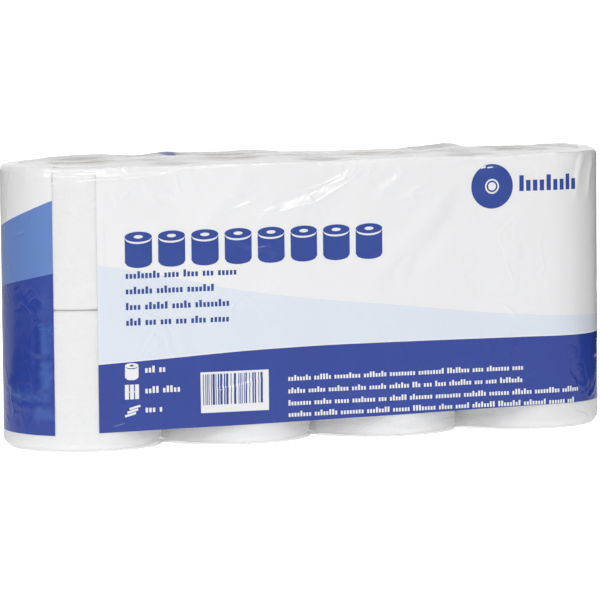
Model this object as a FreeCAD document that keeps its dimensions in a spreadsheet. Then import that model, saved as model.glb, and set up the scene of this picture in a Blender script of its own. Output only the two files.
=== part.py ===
import FreeCAD, Part
import math
import os
import Sketcher

# Pack of eight toilet paper rolls, four in a row and two layers high, sealed in clear film.
# Millimetres, +Z up, origin on the ground under the middle of the pack, row along X.

ROLLS_IN_ROW = 4
LAYERS = ("lower", "upper")
TURN_RINGS = 6
NOTCH_SIDES = (("front", -1), ("back", 1))
PACK_ENDS = (("left", 180), ("right", 0))

# Driving dimensions, each with the word that names it everywhere below.
SIZES = (
    ("roll_diameter", 108.0),
    ("roll_length", 96.0),
    ("roll_edge_bevel", 1.9),
    ("core_diameter", 43.0),
    ("core_wall", 1.2),
    ("core_recess", 0.5),
    ("core_clearance", 0.3),
    ("roll_gap", 0.3),
    ("layer_gap", 0.3),
    ("turn_width", 1.2),
    ("turn_depth", 0.6),
    ("film_thickness", 0.3),
    ("film_clearance", 0.3),
    ("fold_layer", 0.3),
    ("notch_axis_offset", 30.0),
    ("notch_height", 16.0),
    ("notch_slack", 1.0),
    ("seal_width", 14.0),
    ("seal_height", 0.5),
    ("seam_groove_width", 1.0),
    ("tuck_reach", 22.0),
    ("tuck_margin", 5.0),
    ("tuck_angle", 50.0),
    ("tool_overrun", 1.0),
)

# Sizes worked out from the driving ones, as expressions that the objects are bound to.
ROLL_RADIUS = "(dims.roll_diameter / 2)"
CORE_RADIUS = "(dims.core_diameter / 2)"
CORE_LENGTH = "(dims.roll_length - 2 * dims.core_recess)"
BORE_RADIUS = f"({CORE_RADIUS} + dims.core_clearance)"
ROLL_PITCH = "(dims.roll_diameter + dims.roll_gap)"
LAYER_PITCH = "(dims.roll_length + dims.layer_gap)"
HALF_ROW = f"({ROLL_PITCH} * {ROLLS_IN_ROW - 1} / 2)"
TURN_SPACING = f"(({ROLL_RADIUS} - dims.roll_edge_bevel - {BORE_RADIUS}) / {TURN_RINGS + 1})"
HOLLOW_RADIUS = f"({ROLL_RADIUS} + dims.film_clearance)"
OUTER_RADIUS = f"({HOLLOW_RADIUS} + dims.film_thickness)"
HOLLOW_FLOOR = "(dims.film_thickness + dims.fold_layer)"
STACK_HEIGHT = f"(dims.roll_length + {LAYER_PITCH} * {len(LAYERS) - 1})"
HOLLOW_HEIGHT = f"({STACK_HEIGHT} + 2 * dims.film_clearance)"
OUTER_HEIGHT = f"({HOLLOW_FLOOR} + {HOLLOW_HEIGHT} + dims.film_thickness)"
FIRST_ROLL_MIDDLE = f"({HOLLOW_FLOOR} + dims.film_clearance + dims.roll_length / 2)"

# The film goes round the bevelled rim of the rolls: a bevel inside and the round that it holds outside.
BEVEL_GROWTH = "(2 - sqrt(2))"
ROUND_OVER_BEVEL = "(1 + sqrt(2) / 2)"
HOLLOW_BEVEL = f"(dims.roll_edge_bevel + dims.film_clearance * {BEVEL_GROWTH})"
OUTER_ROUND = f"(({HOLLOW_BEVEL} + dims.film_thickness * {BEVEL_GROWTH}) * {ROUND_OVER_BEVEL})"

# Between two rolls the film is drawn in at the foot, round a cone that misses both rolls.
NOTCH_AXIS = f"({OUTER_RADIUS} + dims.notch_axis_offset)"
NOTCH_TO_ROLL = f"sqrt(({ROLL_PITCH} / 2) ^ 2 + {NOTCH_AXIS} ^ 2)"
NOTCH_RADIUS = f"({NOTCH_TO_ROLL} - {OUTER_RADIUS} - dims.notch_slack)"
NOTCH_SLOPE = f"(({NOTCH_RADIUS} - dims.notch_axis_offset) / dims.notch_height)"

# At each end the film is tucked in under the long folds, as a triangle seen from above.
TUCK_TIP = f"({HALF_ROW} - dims.tuck_reach)"
TUCK_RADIUS = f"({OUTER_RADIUS} - dims.tuck_margin)"
TUCK_EDGE = f"({HALF_ROW} + {TUCK_RADIUS} * cos(dims.tuck_angle * 1 deg))"
TUCK_HALF_WIDTH = f"({TUCK_RADIUS} * sin(dims.tuck_angle * 1 deg))"


def make_sheet(doc):
    """Put every driving dimension in a sheet cell of its own, under its word."""
    sheet = doc.addObject("Spreadsheet::Sheet", "dims")
    for row, (word, value) in enumerate(SIZES, start=1):
        sheet.set(f"A{row}", word)
        sheet.set(f"B{row}", str(value))
        sheet.setAlias(f"B{row}", word)
    doc.recompute()


def value_of(item, expression):
    """Work out an expression in plain millimetres."""
    return float(item.evalExpression(expression))


def place(item, across, along, up):
    """Tie an object's place to the sheet."""
    for axis, expression in (("x", across), ("y", along), ("z", up)):
        item.setExpression(f"Placement.Base.{axis}", expression)


def new_body(doc, label):
    """Start an empty body that carries its own name."""
    body = doc.addObject("PartDesign::Body", label)
    body.Label = label
    return body


def new_sketch(body, name, role):
    """Start a sketch on one of the body's own origin planes."""
    plane = [item for item in body.Origin.OriginFeatures if item.Role == role][0]
    sketch = body.newObject("Sketcher::SketchObject", name)
    sketch.AttachmentSupport = [(plane, "")]
    sketch.MapMode = "FlatFace"
    return sketch


def bind(sketch, constraint, expression):
    """Add a constraint with a size and tie that size to the sheet."""
    index = sketch.addConstraint(constraint)
    sketch.setExpression(f"Constraints[{index}]", expression)


def add_circle(sketch, expression):
    """Draw a circle about the sketch's origin."""
    radius = value_of(sketch, expression)
    circle = sketch.addGeometry(Part.Circle(FreeCAD.Vector(), FreeCAD.Vector(0, 0, 1), radius))
    sketch.addConstraint(Sketcher.Constraint("Coincident", circle, 3, -1, 1))
    bind(sketch, Sketcher.Constraint("Radius", circle, radius), expression)


def add_polygon(sketch, corners):
    """Draw a closed polygon whose corners are tied to the sheet one by one."""
    places = []
    for across, up in corners:
        places.append(FreeCAD.Vector(value_of(sketch, across), value_of(sketch, up), 0))
    lines = []
    for number, start in enumerate(places):
        end = places[(number + 1) % len(places)]
        lines.append(sketch.addGeometry(Part.LineSegment(start, end)))
    for number, line in enumerate(lines):
        following = lines[(number + 1) % len(lines)]
        across, up = corners[number]
        sketch.addConstraint(Sketcher.Constraint("Coincident", line, 2, following, 1))
        bind(sketch, Sketcher.Constraint("DistanceX", -1, 1, line, 1, places[number].x), across)
        bind(sketch, Sketcher.Constraint("DistanceY", -1, 1, line, 1, places[number].y), up)


def add_stadium(sketch, radius_expression):
    """Draw the outline round a whole row: two half circles and two straight sides."""
    radius = value_of(sketch, radius_expression)
    half_row = value_of(sketch, HALF_ROW)
    up = FreeCAD.Vector(0, 0, 1)
    right_front = FreeCAD.Vector(half_row, -radius, 0)
    right_back = FreeCAD.Vector(half_row, radius, 0)
    left_back = FreeCAD.Vector(-half_row, radius, 0)
    left_front = FreeCAD.Vector(-half_row, -radius, 0)
    right_circle = Part.Circle(FreeCAD.Vector(half_row, 0, 0), up, radius)
    left_circle = Part.Circle(FreeCAD.Vector(-half_row, 0, 0), up, radius)
    right = sketch.addGeometry(Part.ArcOfCircle(right_circle, -math.pi / 2, math.pi / 2))
    back = sketch.addGeometry(Part.LineSegment(right_back, left_back))
    left = sketch.addGeometry(Part.ArcOfCircle(left_circle, math.pi / 2, 3 * math.pi / 2))
    front = sketch.addGeometry(Part.LineSegment(left_front, right_front))
    for ending, starting in ((right, back), (back, left), (left, front), (front, right)):
        sketch.addConstraint(Sketcher.Constraint("Tangent", ending, 2, starting, 1))
    sketch.addConstraint(Sketcher.Constraint("PointOnObject", right, 3, -1))
    sketch.addConstraint(Sketcher.Constraint("PointOnObject", left, 3, -1))
    sketch.addConstraint(Sketcher.Constraint("Equal", right, left))
    bind(sketch, Sketcher.Constraint("Radius", right, radius), radius_expression)
    bind(sketch, Sketcher.Constraint("DistanceX", -1, 1, right, 3, half_row), HALF_ROW)
    bind(sketch, Sketcher.Constraint("DistanceX", left, 3, -1, 1, half_row), HALF_ROW)


def pad(body, sketch, name, expression, both_ways=False):
    """Raise a sketch by a bound height, or by half of it to each side."""
    feature = body.newObject("PartDesign::Pad", name)
    feature.Profile = sketch
    if both_ways:
        feature.SideType = "Symmetric"
    feature.setExpression("Length", expression)
    body.Document.recompute()
    return feature


def round_edges(body, feature, edges, expression):
    """Round some edges of a feature by a bound radius."""
    fillet = body.newObject("PartDesign::Fillet", "rounded_edges")
    fillet.Base = (feature, edges)
    fillet.setExpression("Radius", expression)
    body.Document.recompute()


def bevel_edges(body, feature, edges, expression):
    """Bevel some edges of a feature by a bound size."""
    chamfer = body.newObject("PartDesign::Chamfer", "bevelled_edges")
    chamfer.Base = (feature, edges)
    chamfer.setExpression("Size", expression)
    body.Document.recompute()


def end_rim_edges(feature, keep):
    """Name the edges that lie flat in an end face and pass the given test."""
    names = []
    box = feature.Shape.BoundBox
    for number, edge in enumerate(feature.Shape.Edges, start=1):
        flat = edge.BoundBox.ZLength < 0.001
        at_end = min(edge.BoundBox.ZMin - box.ZMin, box.ZMax - edge.BoundBox.ZMax) < 0.001
        if flat and at_end and keep(edge):
            names.append(f"Edge{number}")
    return names


def make_roll(doc, label):
    """A wound roll: a thick tube of tissue whose turns show as rings in both ends."""
    body = new_body(doc, label)
    outline = new_sketch(body, "outline", "XY_Plane")
    add_circle(outline, ROLL_RADIUS)
    add_circle(outline, BORE_RADIUS)
    wound = pad(body, outline, "wound_length", "dims.roll_length", both_ways=True)
    roll_radius = value_of(body, ROLL_RADIUS)
    rims = end_rim_edges(wound, lambda edge: abs(edge.Curve.Radius - roll_radius) < 0.001)
    bevel_edges(body, wound, rims, "dims.roll_edge_bevel")

    turns = new_sketch(body, "turns", "XZ_Plane")
    top = "dims.roll_length / 2"
    for ring in range(1, TURN_RINGS + 1):
        middle = f"({BORE_RADIUS} + {ring} * {TURN_SPACING})"
        add_polygon(
            turns,
            (
                (f"{middle} - dims.turn_width / 2", top),
                (f"{middle} + dims.turn_width / 2", top),
                (middle, f"{top} - dims.turn_depth"),
            ),
        )
    groove = body.newObject("PartDesign::Groove", "turn_rings")
    groove.Profile = turns
    groove.ReferenceAxis = (turns, ["V_Axis"])
    groove.Angle = 360
    doc.recompute()

    far_end = body.newObject("PartDesign::Mirrored", "far_end_rings")
    far_end.Originals = [groove]
    far_end.MirrorPlane = (
        [item for item in body.Origin.OriginFeatures if item.Role == "XY_Plane"][0],
        [""],
    )
    body.Tip = far_end
    return body


def make_core(doc, label):
    """The card tube that a roll is wound on."""
    body = new_body(doc, label)
    outline = new_sketch(body, "outline", "XY_Plane")
    add_circle(outline, CORE_RADIUS)
    add_circle(outline, f"{CORE_RADIUS} - dims.core_wall")
    pad(body, outline, "tube_length", CORE_LENGTH, both_ways=True)
    return body


def make_stadium_block(doc, label, radius, floor, rise, soften, rim_size):
    """A block as long as the row with round ends and softened rims."""
    body = new_body(doc, label)
    outline = new_sketch(body, "outline", "XY_Plane")
    add_stadium(outline, radius)
    block = pad(body, outline, "block_height", rise)
    soften(body, block, end_rim_edges(block, lambda edge: True), rim_size)
    place(body, "0", "0", floor)
    return body


def make_notches(doc, label, wall):
    """Cones between the rolls, front and back, that draw the film in at its foot."""
    cones = []
    for side, direction in NOTCH_SIDES:
        for gap in range(ROLLS_IN_ROW - 1):
            cone = doc.addObject("Part::Cone", f"{label}_{side}_{gap + 1}")
            foot = f"{NOTCH_RADIUS} + {wall}"
            rim = f"dims.notch_axis_offset + {wall}"
            cone.setExpression("Radius1", f"{foot} + {NOTCH_SLOPE} * dims.tool_overrun")
            cone.setExpression("Radius2", f"{rim} - {NOTCH_SLOPE} * dims.tool_overrun")
            cone.setExpression("Height", "dims.notch_height + 2 * dims.tool_overrun")
            across = f"({gap} - {(ROLLS_IN_ROW - 2) / 2}) * {ROLL_PITCH}"
            place(cone, across, f"{direction} * {NOTCH_AXIS}", "-dims.tool_overrun")
            cones.append(cone)
    return fuse(doc, label, cones)


def fuse(doc, label, items):
    """Join several objects."""
    joined = doc.addObject("Part::MultiFuse", label)
    joined.Shapes = items
    joined.Refine = True
    return joined


def cut(doc, label, base, tool):
    """Take one object away from another."""
    rest = doc.addObject("Part::Cut", label)
    rest.Base = base
    rest.Tool = tool
    rest.Refine = True
    return rest


def make_box(doc, label, size, corner):
    """A box whose three sides and lowest corner are bound to the sheet."""
    box = doc.addObject("Part::Box", label)
    for side, expression in zip(("Length", "Width", "Height"), size):
        box.setExpression(side, expression)
    place(box, *corner)
    return box


def make_tuck(doc, label, angle, floor, rise):
    """The triangle of film that is tucked in at one end of the pack."""
    body = new_body(doc, label)
    outline = new_sketch(body, "outline", "XY_Plane")
    add_polygon(
        outline,
        (
            (TUCK_TIP, "dims.seal_width / 8"),
            (TUCK_TIP, "-dims.seal_width / 8"),
            (TUCK_EDGE, f"-{TUCK_HALF_WIDTH}"),
            (TUCK_EDGE, TUCK_HALF_WIDTH),
        ),
    )
    pad(body, outline, "fold_height", rise)
    body.Placement.Rotation = FreeCAD.Rotation(FreeCAD.Vector(0, 0, 1), angle)
    place(body, "0", "0", floor)
    return body


def make_film(doc):
    """The sealed film: a thin closed skin, folded flat over both ends of the rolls."""
    outside = make_stadium_block(
        doc, "film_outside", OUTER_RADIUS, "0", OUTER_HEIGHT, round_edges, OUTER_ROUND
    )
    hollow = make_stadium_block(
        doc, "film_hollow", HOLLOW_RADIUS, HOLLOW_FLOOR, HOLLOW_HEIGHT, bevel_edges, HOLLOW_BEVEL
    )
    outer_skin = cut(doc, "outer_skin", outside, make_notches(doc, "outer_notch", "0"))
    inner_skin = cut(
        doc, "inner_skin", hollow, make_notches(doc, "inner_notch", "dims.film_thickness")
    )
    shell = cut(doc, "film_shell", outer_skin, inner_skin)

    # On top the folds stand proud: a lengthwise seal and a tucked triangle at each end.
    raised = [shell]
    raised.append(
        make_box(
            doc,
            "top_seal",
            (f"2 * {HALF_ROW}", "dims.seal_width", "dims.seal_height"),
            (f"-{HALF_ROW}", "-dims.seal_width / 2", OUTER_HEIGHT),
        )
    )
    for end, angle in PACK_ENDS:
        raised.append(make_tuck(doc, f"top_tuck_{end}", angle, OUTER_HEIGHT, "dims.fold_layer"))
    folded_top = fuse(doc, "folded_top", raised)

    # Underneath the long folds lie flat on the ground, so seams and tucks are sunk into them.
    sunk = []
    for side, direction in NOTCH_SIDES:
        sunk.append(
            make_box(
                doc,
                f"seam_groove_{side}",
                (f"2 * {HALF_ROW}", "dims.seam_groove_width", "dims.fold_layer"),
                (
                    f"-{HALF_ROW}",
                    f"{direction} * dims.seal_width / 2 - dims.seam_groove_width / 2",
                    "0",
                ),
            )
        )
    for end, angle in PACK_ENDS:
        sunk.append(make_tuck(doc, f"foot_tuck_{end}", angle, "0", "dims.fold_layer"))
    film = cut(doc, "film_wrap", folded_top, fuse(doc, "sunk_folds", sunk))
    film.Label = "film_wrap"
    return film


def make_part():
    """Build the document and give back the sub-parts that are written out."""
    doc = FreeCAD.newDocument("roll_pack")
    make_sheet(doc)
    pieces = [make_film(doc)]
    for layer, word in enumerate(LAYERS):
        for column in range(ROLLS_IN_ROW):
            across = f"({column} - {(ROLLS_IN_ROW - 1) / 2}) * {ROLL_PITCH}"
            middle = f"{FIRST_ROLL_MIDDLE} + {layer} * {LAYER_PITCH}"
            for piece in (
                make_roll(doc, f"roll_{word}_{column + 1}"),
                make_core(doc, f"core_{word}_{column + 1}"),
            ):
                place(piece, across, "0", middle)
                pieces.append(piece)
    doc.recompute()
    return doc, pieces


def check(doc, pieces):
    """Stop with a plain message if anything in the document has failed."""
    for item in doc.Objects:
        if "Invalid" in item.State or "Error" in item.State:
            raise RuntimeError(f"{item.Name} has failed: {item.State}")
    for piece in pieces:
        shape = piece.Shape
        if shape.isNull() or not shape.isValid() or len(shape.Solids) != 1:
            raise RuntimeError(f"{piece.Label} is not one valid solid")


def write(pieces):
    """Write each sub-part to a file named after it."""
    os.makedirs("parts", exist_ok=True)
    for piece in pieces:
        piece.Shape.exportStep(f"parts/{piece.Label}.step")


document, sub_parts = make_part()
check(document, sub_parts)
write(sub_parts)
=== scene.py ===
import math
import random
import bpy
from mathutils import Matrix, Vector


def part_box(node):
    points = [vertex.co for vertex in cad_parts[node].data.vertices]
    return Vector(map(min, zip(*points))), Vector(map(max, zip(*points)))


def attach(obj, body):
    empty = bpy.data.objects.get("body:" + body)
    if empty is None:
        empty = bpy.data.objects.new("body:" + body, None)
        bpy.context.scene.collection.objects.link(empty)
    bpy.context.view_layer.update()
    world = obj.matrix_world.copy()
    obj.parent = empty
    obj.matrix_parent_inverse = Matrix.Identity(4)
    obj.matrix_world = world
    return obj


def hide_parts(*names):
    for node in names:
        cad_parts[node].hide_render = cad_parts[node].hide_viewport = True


bl_info = {
    "name": "Toilet Paper Roll Pack",
    "version": (1, 0, 0),
    "blender": (4, 5, 0),
    "location": "View3D > Sidebar > Roll Pack",
    "description": "Dresses a pack of eight toilet paper rolls in printed film, round its packed frame",
    "category": "Add Mesh",
}

from functools import lru_cache

import bmesh
import bpy
from bpy.props import FloatProperty, FloatVectorProperty, IntProperty, PointerProperty
from mathutils import Matrix, Vector, noise
from mathutils.bvhtree import BVHTree

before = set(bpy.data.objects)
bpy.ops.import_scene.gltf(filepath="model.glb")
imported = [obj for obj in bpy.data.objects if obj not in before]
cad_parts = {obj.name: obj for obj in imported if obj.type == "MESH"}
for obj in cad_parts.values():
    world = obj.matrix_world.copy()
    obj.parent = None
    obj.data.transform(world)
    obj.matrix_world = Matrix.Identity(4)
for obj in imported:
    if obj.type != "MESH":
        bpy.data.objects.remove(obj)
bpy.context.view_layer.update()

# Shapes are worked out in millimetres and turned to metres as each mesh is finished.
MM = 0.001


def box_of(node):
    """Lowest and highest corner of a frame node in millimetres."""
    low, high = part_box(node)
    return Vector(low) / MM, Vector(high) / MM


def linear(hex_colour):
    """Turn an sRGB hex colour into the linear one that Blender's sockets take."""
    channels = [int(hex_colour[place:place + 2], 16) / 255 for place in (1, 3, 5)]
    curved = [c / 12.92 if c <= 0.04045 else ((c + 0.055) / 1.055) ** 2.4 for c in channels]
    return tuple(curved)


# The frame's own sizes: a row of four rolls, two layers, in film with round ends.
COLUMNS = (1, 2, 3, 4)
LAYERS = ("lower", "upper")
FILM_LOW, FILM_HIGH = box_of("film_wrap")
ROLL_LOW, ROLL_HIGH = box_of("roll_lower_1")
UPPER_LOW, UPPER_HIGH = box_of("roll_upper_1")
CORE_LOW, CORE_HIGH = box_of("core_lower_1")
FILM_RADIUS = (FILM_HIGH.y - FILM_LOW.y) / 2
ROLL_RADIUS = (ROLL_HIGH.y - ROLL_LOW.y) / 2
CORE_RADIUS = (CORE_HIGH.y - CORE_LOW.y) / 2
HALF_ROW = FILM_HIGH.x - FILM_RADIUS
ROLL_PITCH = 2 * HALF_ROW / (len(COLUMNS) - 1)
LAYER_SEAM = (ROLL_HIGH.z + UPPER_LOW.z) / 2
FILM_TOP = UPPER_HIGH.z + FILM_RADIUS - ROLL_RADIUS
ROLL_AXES = [-HALF_ROW + ROLL_PITCH * step for step in range(len(COLUMNS))]
ROLL_CONTACTS = [(near + far) / 2 for near, far in zip(ROLL_AXES, ROLL_AXES[1:])]

# The film's section runs from the middle of the underside, round the rim, up and over the top.
TOP_ROUND = 3.84
FOOT_ROUND = 7.5
FOOT_FLAT = FILM_RADIUS - FOOT_ROUND
FOOT_BEND = math.pi / 2 * FOOT_ROUND
TOP_FLAT = FILM_RADIUS - TOP_ROUND
TOP_BEND = math.pi / 2 * TOP_ROUND
SECTION_WALL = FILM_TOP - FOOT_ROUND - TOP_ROUND
WALL_START = FOOT_FLAT + FOOT_BEND
WALL_END = WALL_START + SECTION_WALL
SECTION_LENGTH = WALL_END + TOP_BEND + TOP_FLAT

# Round the sleeve: front straight, right end, back straight, left end.
STRAIGHT = 2 * HALF_ROW
ARC = math.pi * FILM_RADIUS
PERIMETER = 2 * (STRAIGHT + ARC)
STRAIGHT_COLUMNS = 118
ARC_COLUMNS = 62
SLEEVE_COLUMNS = 2 * (STRAIGHT_COLUMNS + ARC_COLUMNS)

# The film is left unprinted between these grid columns, on the front of the left end.
CLEAR_FROM = SLEEVE_COLUMNS - 13
CLEAR_TO = SLEEVE_COLUMNS - 2


class FilmSettings(bpy.types.PropertyGroup):
    """What a user may change on the film and its print."""

    seal_width: FloatProperty(
        name="Seal Width",
        description="Width of the lengthwise seal folded flat on the top and the underside",
        default=14 * MM, subtype="DISTANCE", unit="LENGTH"
    )
    ripple: FloatProperty(
        name="Ripple", description="Height of the broad slack ripples in the film", default=0.45 * MM,
        subtype="DISTANCE", unit="LENGTH"
    )
    gathers: IntProperty(
        name="Gathers", description="Number of small gathers that run off each rim of the pack",
        default=170, min=0
    )
    haze: FloatProperty(
        name="Haze", description="Share of milky haze in the clear film", default=0.16, min=0, max=1,
        subtype="FACTOR"
    )
    folded_haze: FloatProperty(
        name="Folded Haze",
        description="Share of milky haze where the film lies folded on the top and the underside",
        default=0.48, min=0, max=1, subtype="FACTOR"
    )
    white: FloatVectorProperty(
        name="White Print", description="White ink that backs the printed panels",
        default=linear("#DFDFE0"), size=3, subtype="COLOR"
    )
    dark_blue: FloatVectorProperty(
        name="Dark Blue Print", description="Ink of the broad band and of the marks on white",
        default=linear("#273B88"), size=3, subtype="COLOR"
    )
    mark_blue: FloatVectorProperty(
        name="Mark Blue", description="Ink of the small marks on the white panel",
        default=linear("#2A438F"), size=3, subtype="COLOR"
    )
    mid_blue: FloatVectorProperty(
        name="Mid Blue Print", description="Ink of the field above the band at the left end",
        default=linear("#5A79B4"), size=3, subtype="COLOR"
    )
    pale_blue: FloatVectorProperty(
        name="Pale Blue Print", description="Ink of the tapering field above the band on the front",
        default=linear("#D1D7E0"), size=3, subtype="COLOR"
    )


class PaperSettings(bpy.types.PropertyGroup):
    """What a user may change on the rolls and their tubes."""

    turn_spacing: FloatProperty(
        name="Turn Spacing",
        description="Spacing of the turns shown in a roll's end, coarser than the real 0.25 mm",
        default=1.3 * MM, subtype="DISTANCE", unit="LENGTH"
    )
    emboss_spacing: FloatProperty(
        name="Emboss Spacing", description="Spacing of the embossed dimples in the tissue",
        default=3.4 * MM, subtype="DISTANCE", unit="LENGTH"
    )
    tissue: FloatVectorProperty(
        name="Tissue", description="Colour of the bleached tissue", default=linear("#E1E1E1"), size=3,
        subtype="COLOR"
    )
    card: FloatVectorProperty(
        name="Card", description="Colour of the spiral wound card tubes", default=linear("#B7A78E"), size=3,
        subtype="COLOR"
    )


class StageSettings(bpy.types.PropertyGroup):
    """Where the camera stands and how bright the studio is."""

    azimuth: FloatProperty(
        name="Azimuth", description="Turn of the camera about the pack, 0 being square to the front",
        default=math.radians(-20), subtype="ANGLE", unit="ROTATION"
    )
    elevation: FloatProperty(
        name="Elevation", description="Height of the camera above the horizon, as an angle",
        default=math.radians(5.065), subtype="ANGLE", unit="ROTATION"
    )
    roll: FloatProperty(
        name="Roll", description="Turn of the camera about its own line of sight",
        default=math.radians(-0.575), subtype="ANGLE", unit="ROTATION"
    )
    distance: FloatProperty(
        name="Distance", description="Distance of the camera from the middle of the pack", default=3.4994,
        subtype="DISTANCE", unit="LENGTH"
    )
    lens: FloatProperty(
        name="Lens", description="Focal length of the camera in millimetres", default=302.04
    )
    daylight: FloatProperty(
        name="Daylight", description="Strength of the even light from all round", default=0.28, min=0
    )
    table_glow: FloatProperty(
        name="Table Glow", description="Light given off by the white table under the pack", default=0.52,
        min=0
    )
    key_light: FloatProperty(
        name="Key Light", description="Power of the large soft lamp above the camera, in watts",
        default=12.7, min=0
    )


def round_the_row(along):
    """Point of the row's middle line and outward direction at a distance round the sleeve."""
    along %= PERIMETER
    if along < STRAIGHT:
        return Vector((along - HALF_ROW, 0, 0)), Vector((0, -1, 0))
    along -= STRAIGHT
    if along < ARC:
        turn = along / FILM_RADIUS
        return Vector((HALF_ROW, 0, 0)), Vector((math.sin(turn), -math.cos(turn), 0))
    along -= ARC
    if along < STRAIGHT:
        return Vector((HALF_ROW - along, 0, 0)), Vector((0, 1, 0))
    turn = (along - STRAIGHT) / FILM_RADIUS
    return Vector((-HALF_ROW, 0, 0)), Vector((-math.sin(turn), math.cos(turn), 0))


def up_the_section(climb):
    """Reach from the middle line, height, and how far the film faces out and up there."""
    if climb < FOOT_FLAT:
        return climb, 0.0, 0.0, -1.0
    if climb < WALL_START:
        turn = (climb - FOOT_FLAT) / FOOT_ROUND
        reach = FOOT_FLAT + FOOT_ROUND * math.sin(turn)
        return reach, FOOT_ROUND * (1 - math.cos(turn)), math.sin(turn), -math.cos(turn)
    if climb < WALL_END:
        return FILM_RADIUS, FOOT_ROUND + climb - WALL_START, 1.0, 0.0
    climb -= WALL_END
    if climb < TOP_BEND:
        turn = climb / TOP_ROUND
        reach = TOP_FLAT + TOP_ROUND * math.cos(turn)
        height = FILM_TOP - TOP_ROUND * (1 - math.sin(turn))
        return reach, height, math.cos(turn), math.sin(turn)
    return max(TOP_FLAT + TOP_BEND - climb, 0.0), FILM_TOP, 0.0, 1.0


def along_at(column):
    """Distance round the sleeve of a grid column."""
    runs = ((STRAIGHT_COLUMNS, STRAIGHT), (ARC_COLUMNS, ARC)) * 2
    along = 0.0
    for columns, length in runs:
        if column <= columns:
            return along + length * column / columns
        column -= columns
        along += length
    return along


PRINT_START = along_at(CLEAR_TO)
PRINT_LENGTH = PERIMETER - (along_at(CLEAR_TO) - along_at(CLEAR_FROM))


def print_place(along):
    """Distance from the left edge of the front panel's print, round the sleeve."""
    return (along - PRINT_START) % PERIMETER


def smooth_through(points, place):
    """Height of a smooth curve through a few points, at a place between the first and last."""
    place = min(max(place, points[0][0]), points[-1][0])
    slopes = []
    for number in range(len(points)):
        before = points[max(number - 1, 0)]
        after = points[min(number + 1, len(points) - 1)]
        slopes.append((after[1] - before[1]) / (after[0] - before[0]))
    for number in range(len(points) - 1):
        (start, low), (end, high) = points[number], points[number + 1]
        if place <= end:
            span = end - start
            t = (place - start) / span
            rise = (2 * t**3 - 3 * t**2 + 1) * low + (3 * t**2 - 2 * t**3) * high
            lean = (t**3 - 2 * t**2 + t) * slopes[number] + (t**3 - t**2) * slopes[number + 1]
            return rise + lean * span
    return points[-1][1]


# Edges of the printed fields: distance along the print, height above the ground.
BAND_FOOT = ((0, 13.6), (105, 14.4), (220, 16.0), (345, 18.0), (500, 16.5), (830, 13.4), (963, 11.8))
BAND_TOP = (
    (0, 60.0), (50, 62.2), (110, 65.2), (180, 66.5), (310, 66.0), (400, 65.5), (560, 69.5), (700, 80.0),
    (850, 101.0), (905, 110.5), (935, 116.2), (963, 122.0)
)
FIELD_TOP = (
    (0, 127.6), (37, 120.8), (102, 106.8), (160, 98.3), (218, 91.9), (292, 83.3), (345, 79.8), (400, 77.6),
    (560, 71.0), (640, 84.0), (760, 116.0), (850, 142.0), (905, 152.0), (935, 161.0), (963, 171.5)
)
FIELD_CHANGE = 560.0
WHITE_LINE = 0.8


def edge_height(points, place):
    """Height of a field's edge, joined straight across the unprinted strip."""
    if place <= PRINT_LENGTH:
        return smooth_through(points, place)
    share = (place - PRINT_LENGTH) / (PERIMETER - PRINT_LENGTH)
    end = smooth_through(points, PRINT_LENGTH)
    return end + share * (points[0][1] - end)


# Rows of the film's grid in each stretch of its section, from the underside to the top.
ROW_PLAN = (14, 5, 5, 18, 1, 20, 32, 5, 5, 16)
FOOT_STRETCHES = (0, 1, 2)
BAND_STRETCH = 3
LINE_STRETCH = 4
FIELD_STRETCH = 5
TURN_IN = 9.0
SLEEVE_ROWS = sum(ROW_PLAN)


@lru_cache(maxsize=None)
def row_edges(place):
    """Where each stretch of the section ends, for a place along the print."""
    wall_foot = WALL_START - FOOT_ROUND
    band_top = wall_foot + edge_height(BAND_TOP, place)
    line_top = band_top + WHITE_LINE
    field_top = max(wall_foot + edge_height(FIELD_TOP, place), line_top + WHITE_LINE)
    return (
        0.0, FOOT_FLAT, WALL_START, wall_foot + edge_height(BAND_FOOT, place), band_top, line_top,
        field_top, WALL_END, WALL_END + TOP_BEND, WALL_END + TOP_BEND + TURN_IN, SECTION_LENGTH
    )


def stretch_of(row):
    """Number of the stretch that a grid row lies in, and how far through it."""
    for number, rows in enumerate(ROW_PLAN):
        if row <= rows or number == len(ROW_PLAN) - 1:
            return number, min(row / rows, 1.0)
        row -= rows


def bump_line(distance, width):
    """Height share of a soft ridge at a distance from its line."""
    return math.exp(-((distance / width) ** 2))


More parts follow.
